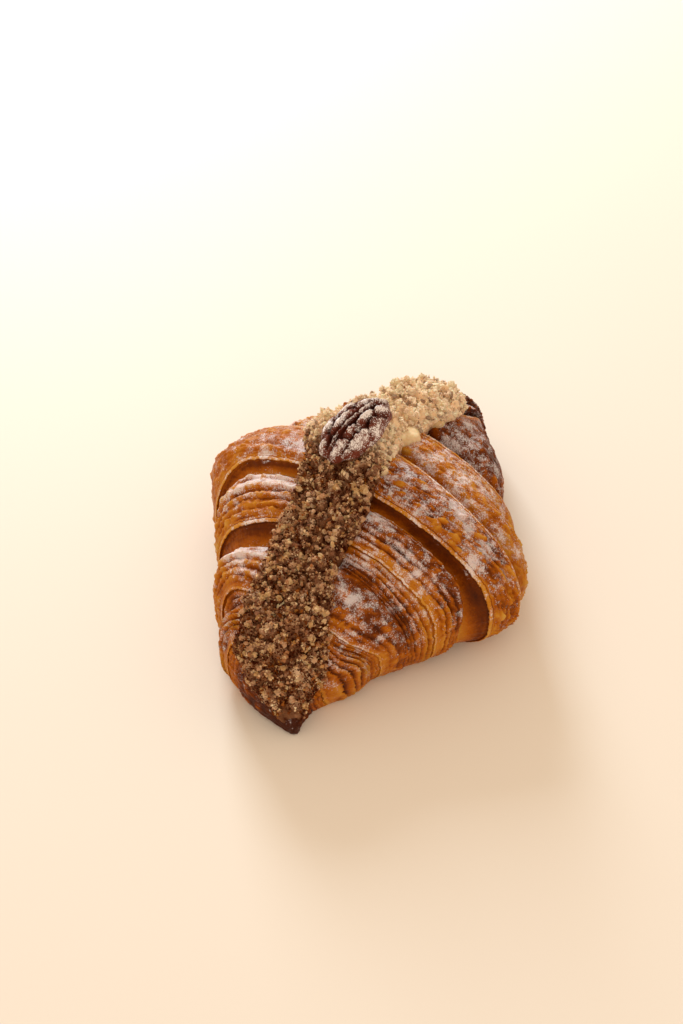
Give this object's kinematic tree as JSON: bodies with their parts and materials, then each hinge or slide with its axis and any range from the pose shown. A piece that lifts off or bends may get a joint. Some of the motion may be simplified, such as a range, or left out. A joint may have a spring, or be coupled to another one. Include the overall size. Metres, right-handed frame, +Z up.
{
  "type": "pecan croissant",
  "caption": "Large baked croissant with stepped flaky layers, a nut cream strip and crumble along its crest, and a pecan half on top.",
  "frame": {"origin": "middle of the bounding box, on the flat base the croissant rests on", "axes": "+X along the roll toward the blunter tip, +Y toward its left side, +Z up"},
  "size_m": [0.1638, 0.127, 0.0717],
  "materials": {
    "crust": "egg-washed, baked",
    "cream": "smooth",
    "crumble": "rough, granular",
    "pecan": "wrinkled, sugar-dusted"
  },
  "bodies": {
    "root": {"croissant": "crust", "nut_cream": "cream", "crumble": "crumble", "pecan_half": "pecan"}
  },
  "joints": []
}
